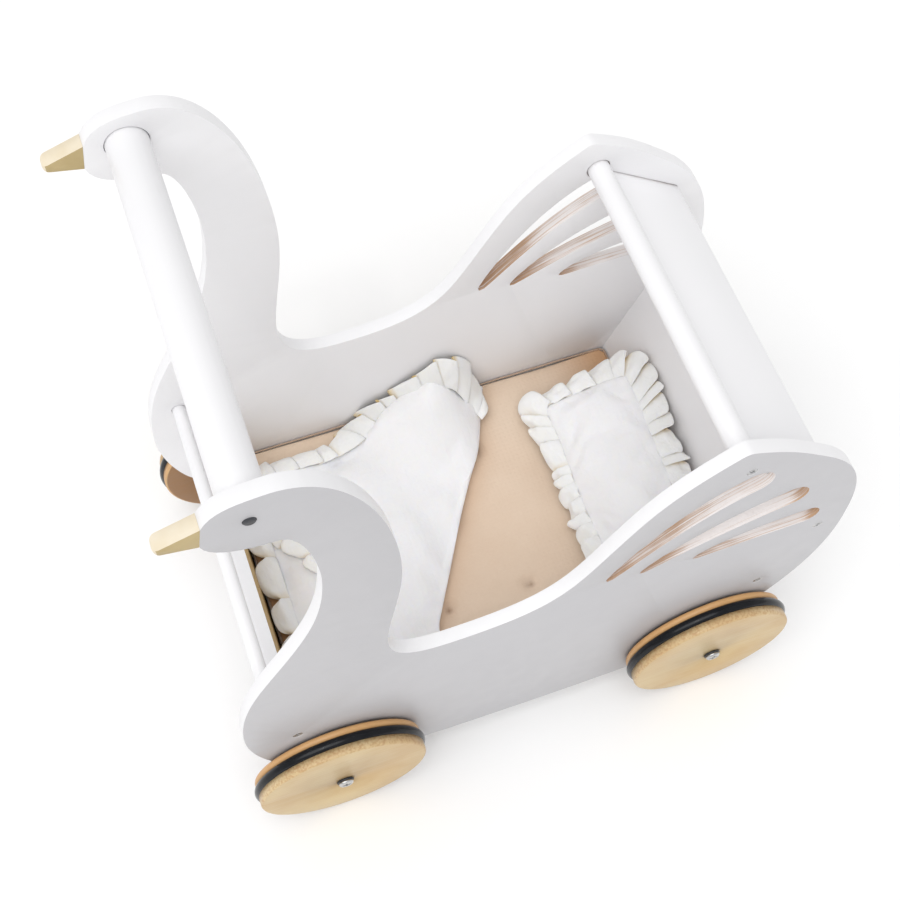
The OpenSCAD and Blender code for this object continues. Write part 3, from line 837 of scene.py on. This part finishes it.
def make_blanket(material):
    """The blanket lies flat, and its far edge climbs the far panel."""
    border = [BLANKET_NEAR, BLANKET_FAR, BLANKET_HEAD, BLANKET_TAIL]
    flat = [[(x, y, FLAT) for x, y, _ in line] for line in border]
    middle = coons(*flat, rows=46, columns=44)
    rows, columns = middle.shape[:2]
    far = spline(BLANKET_FAR)
    along = length_along(far)
    climb = sample(far, along, np.linspace(0, along[-1], columns))[:, 2] - FLAT * MM
    v = np.linspace(0, 1, rows)[:, None]
    middle[..., 2] += climb[None, :] * smooth_step(v, 0.66, 1.0)
    points, faces, seams = stuffed(middle, thickness=0.006)
    body = make_piece("blanket_body", points, faces, material)
    inflate(body, pressure=2.5, cap=0.004, seams=seams, spare=0.02)
    points = positions(body.data)
    points[:, 2] += 0.0007 * ripple(points[:, 0], points[:, 1], 0.06, 11)
    points[:, 2] = np.maximum(points[:, 2], LOWEST)
    points[:, 1] = np.clip(points[:, 1], -WALL, WALL)
    place(body.data, points)
    finish_body(body, "blanket", levels=1)
    return body


def make_pillow(material):
    """The pillow leans on the tail board."""
    middle = coons(PILLOW_NEAR, PILLOW_FAR, PILLOW_HEAD, PILLOW_TAIL, rows=40, columns=20)
    points, faces, seams = stuffed(middle, thickness=0.012)
    body = make_piece("pillow_body", points, faces, material)
    inflate(body, pressure=4.0, cap=0.010, seams=seams, spare=0.03)
    points = positions(body.data)
    points[:, 2] = np.maximum(points[:, 2], LOWEST)
    place(body.data, points)
    finish_body(body, "pillow", levels=2)


def make_bedding():
    peach = peach_cotton()
    cream = cream_cotton("cream_cotton", low=(0.845, 0.843, 0.850), high=(0.875, 0.873, 0.888), crease=0.0005)
    frilly = cream_cotton("frill_cotton", low=(0.875, 0.865, 0.83), high=(0.90, 0.895, 0.87), crease=0.0006)
    make_mattress(peach)
    make_piping(peach)
    blanket = make_blanket(cream)
    make_frill("blanket_far_frill", FAR_SEAM, FAR_EDGE, "blanket", frilly, seed=21,
               pitch=0.019, height=0.0042, jog=0.0024, recede=0.0004, tuck=0.006, sit=0.0020)
    make_frill("blanket_head_frill", BLANKET_HEAD, HEAD_EDGE, "blanket", frilly, seed=8,
               pitch=0.036, height=0.005, lap=0.08, recede=0.011, tuck=0.004, sit=0.0012, wild=0.2,
               crumple=0.0014)
    make_frill("blanket_turn_frill", TURN_SEAM, TURN_EDGE, "blanket", frilly, seed=4,
               pitch=0.021, height=0.004, lap=0.15, recede=0.005, tuck=0.0, wild=0.2, over=blanket)
    make_pillow(cream)
    make_frill("pillow_frill", PILLOW_SEAM, PILLOW_EDGE, "pillow", frilly, seed=5,
               pitch=0.0155, height=0.0068, jog=0.0016, recede=0.0030, seam_share=0.15, wild=0.5,
               crumple=0.0012)


make_camera()
make_light()
make_floor()
dress_hard_parts()
make_bedding()
